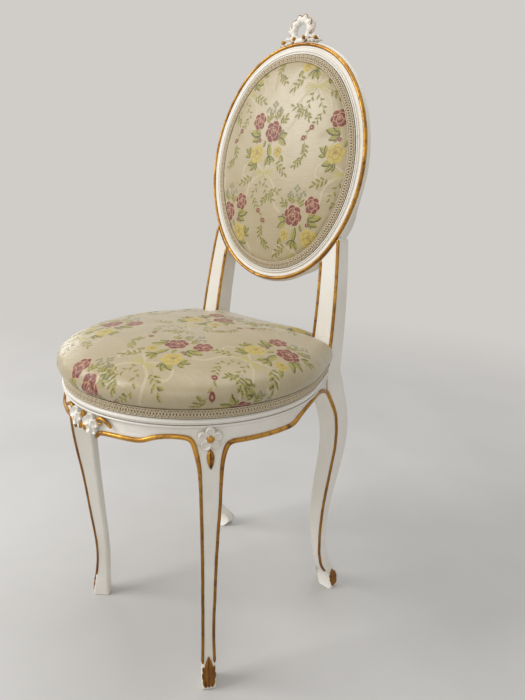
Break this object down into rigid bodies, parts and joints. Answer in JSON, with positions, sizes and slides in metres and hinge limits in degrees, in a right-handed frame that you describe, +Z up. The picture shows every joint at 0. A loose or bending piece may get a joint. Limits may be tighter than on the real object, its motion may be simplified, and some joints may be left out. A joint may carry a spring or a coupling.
{
  "type": "side chair",
  "caption": "White and gilt side chair with an oval medallion back, round padded seat in floral brocade and cabriole legs",
  "frame": {"origin": "on the floor, under the middle of the chair's bounding box", "axes": "+Z up, the chair faces -Y, +X to the right seen from the front"},
  "size_m": [0.3992, 0.4344, 0.9504],
  "materials": {
    "painted_wood": "white satin paint on carved hardwood",
    "gilding": "aged gilding on carved hardwood",
    "bare_wood": "bare beech",
    "steel": "blued steel screws and tacks",
    "brocade": "cream silk brocade with woven flower bouquets",
    "braid": "woven beige gimp braid",
    "jute": "jute webbing and hessian",
    "stuffing": "hair and cotton stuffing",
    "lining": "dark cotton dust cover"
  },
  "bodies": {
    "root": {"front_right_leg": "painted_wood", "front_left_leg": "painted_wood", "rear_right_leg": "painted_wood", "rear_left_leg": "painted_wood", "right_stile": "painted_wood", "left_stile": "painted_wood", "front_rail": "painted_wood", "right_rail": "painted_wood", "left_rail": "painted_wood", "rear_rail": "painted_wood", "back_oval_right": "painted_wood", "back_oval_left": "painted_wood", "back_oval_top": "painted_wood", "back_oval_bottom": "painted_wood", "crest_carving": "painted_wood", "right_knee_flower": "painted_wood", "left_knee_flower": "painted_wood", "front_rail_carving": "gilding", "rail_dowels": "bare_wood", "stile_dowels": "bare_wood", "oval_dowels": "bare_wood", "front_right_corner_block": "bare_wood", "front_left_corner_block": "bare_wood", "rear_right_corner_block": "bare_wood", "rear_left_corner_block": "bare_wood", "corner_block_screws": "steel", "seat_tacks": "steel", "back_tacks": "steel", "seat_cover": "brocade", "back_cover": "brocade", "outside_back_cover": "brocade", "seat_gimp": "braid", "back_gimp": "braid", "outside_back_gimp": "braid", "seat_webbing_across": "jute", "seat_webbing_lengthwise": "jute", "back_webbing": "jute", "seat_hessian": "jute", "back_hessian": "jute", "seat_stuffing": "stuffing", "back_stuffing": "stuffing", "dust_cover": "lining"}
  },
  "joints": []
}
